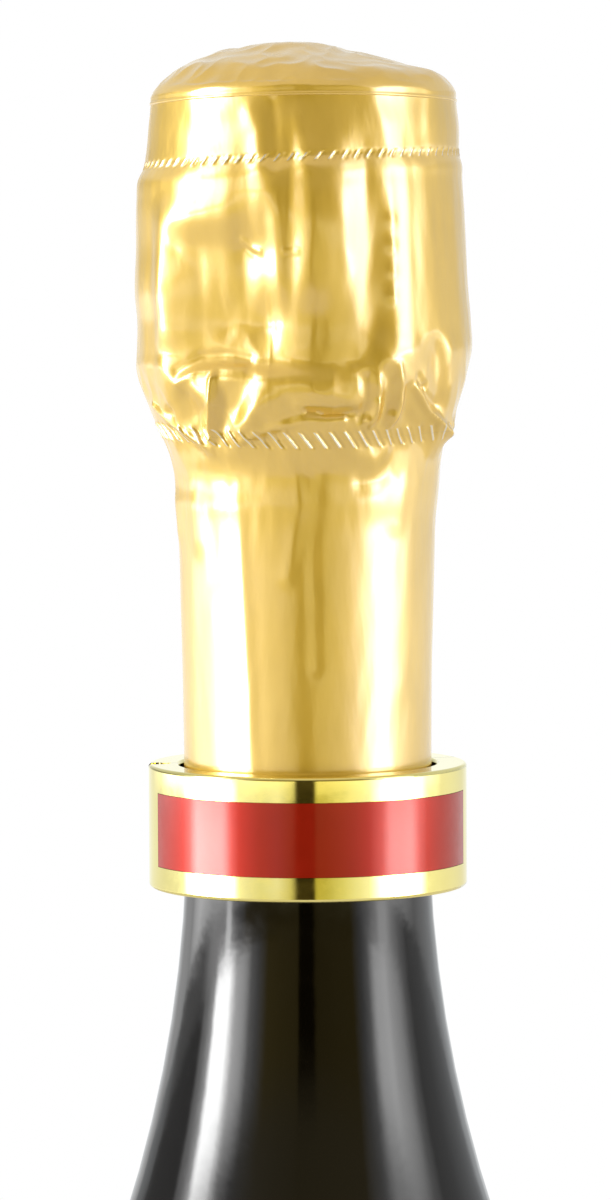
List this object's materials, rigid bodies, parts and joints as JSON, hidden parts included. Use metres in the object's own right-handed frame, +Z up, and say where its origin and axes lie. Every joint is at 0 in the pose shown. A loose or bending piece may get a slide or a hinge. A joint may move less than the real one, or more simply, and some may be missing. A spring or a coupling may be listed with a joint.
{
  "type": "champagne bottle",
  "caption": "Sealed sparkling wine bottle with a punted base, mushroom cork, wire cage, gold foil and a hinged gold collar with a red enamel panel.",
  "frame": {"origin": "centre of the base, on the plane that the bottle stands on", "axes": "+Z up along the bottle's axis, -Y towards the front label and the enamel panel"},
  "size_m": [0.0904, 0.0908, 0.3219],
  "materials": {
    "dark_glass": "gloss",
    "wine": "gloss",
    "label_paper": "matte",
    "cork": "matte",
    "cork_disc": "matte",
    "plaque_metal": "satin",
    "wire": "satin",
    "foil": "satin",
    "collar_gold": "polished",
    "pin_metal": "polished",
    "red_enamel": "gloss"
  },
  "bodies": {
    "bottle": {"bottle_glass": "dark_glass", "wine": "wine", "front_label": "label_paper", "back_label": "label_paper", "foil_sleeve": "foil"},
    "cork": {"cork_body": "cork", "cork_disc_upper": "cork_disc", "cork_disc_lower": "cork_disc"},
    "cage": {"cage_plaque": "plaque_metal", "cage_top_ring": "wire", "cage_belt": "wire", "cage_leg_1": "wire", "cage_leg_2": "wire", "cage_leg_3": "wire", "cage_leg_4": "wire"},
    "loop": {"cage_loop": "wire"},
    "hood": {"foil_top_disc": "foil", "foil_upper_skirt": "foil", "foil_tear_band": "foil"},
    "collar": {"collar_back": "collar_gold", "collar_hinge_pin": "pin_metal", "collar_catch": "pin_metal"},
    "collar_gate": {"collar_front": "collar_gold", "enamel_panel": "red_enamel"}
  },
  "joints": [
    {"name": "cork_pull", "type": "slide", "parent": "bottle", "child": "cork", "axis": [0, 0, 1], "range_m": [0, 0.045]},
    {"name": "cage_lift", "type": "slide", "parent": "cork", "child": "cage", "axis": [0, 0, 1], "range_m": [0, 0.042], "deforming": ["cage_belt"]},
    {"name": "loop_fold", "type": "hinge", "parent": "cage", "child": "loop", "pos_m": [0.01186, -0.00927, 0.2814], "axis": [0.6157, 0.788, 0], "range_deg": [0, 90]},
    {"name": "hood_lift", "type": "slide", "parent": "cage", "child": "hood", "axis": [0, 0, 1], "range_m": [0, 0.046], "deforming": ["foil_tear_band"]},
    {"name": "collar_turn", "type": "hinge", "parent": "bottle", "child": "collar", "pos_m": [0, 0, 0.233], "axis": [0, 0, 1], "continuous": true},
    {"name": "collar_open", "type": "hinge", "parent": "collar", "child": "collar_gate", "pos_m": [-0.01715, 0, 0.233], "axis": [0, 0, -1], "range_deg": [0, 90]}
  ]
}
